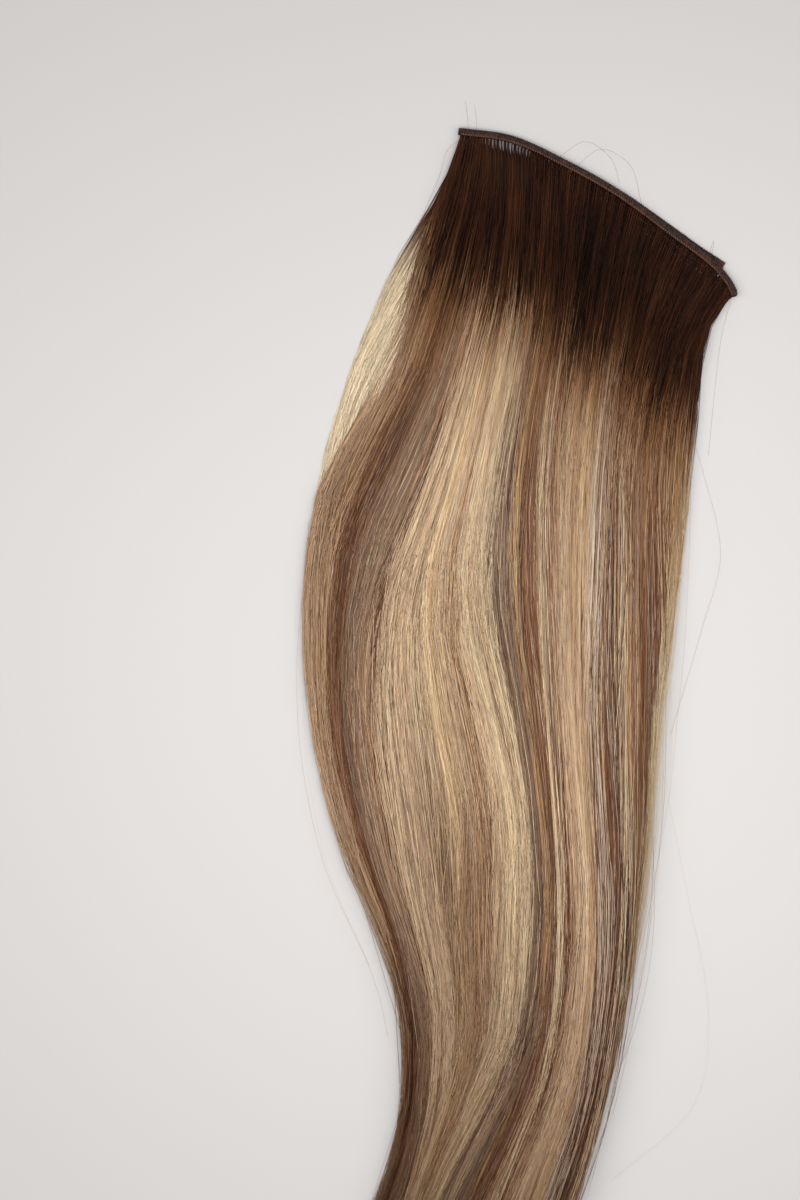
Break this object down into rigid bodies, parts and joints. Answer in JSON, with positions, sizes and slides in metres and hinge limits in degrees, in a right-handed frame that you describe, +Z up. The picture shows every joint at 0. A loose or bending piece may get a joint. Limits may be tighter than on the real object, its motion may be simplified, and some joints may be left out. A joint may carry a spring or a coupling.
{
  "type": "hair weft",
  "caption": "Long straight hair weft: a narrow sewn band folded back on itself, with a curtain of dark-rooted blonde and brown hair on each half, laid flat.",
  "frame": {"origin": "on the surface the weft lies on, under the middle of its outline", "axes": "+Y along the hair towards the band, +X to the right seen from above, +Z up from the surface"},
  "size_m": [0.2179, 0.6651, 0.0123],
  "materials": {
    "band_cloth": "matte, overlocked",
    "hair": "satin, dark at the roots"
  },
  "bodies": {
    "root": {"weft_band": "band_cloth", "upper_hair": "hair", "lower_hair": "hair"}
  },
  "joints": []
}
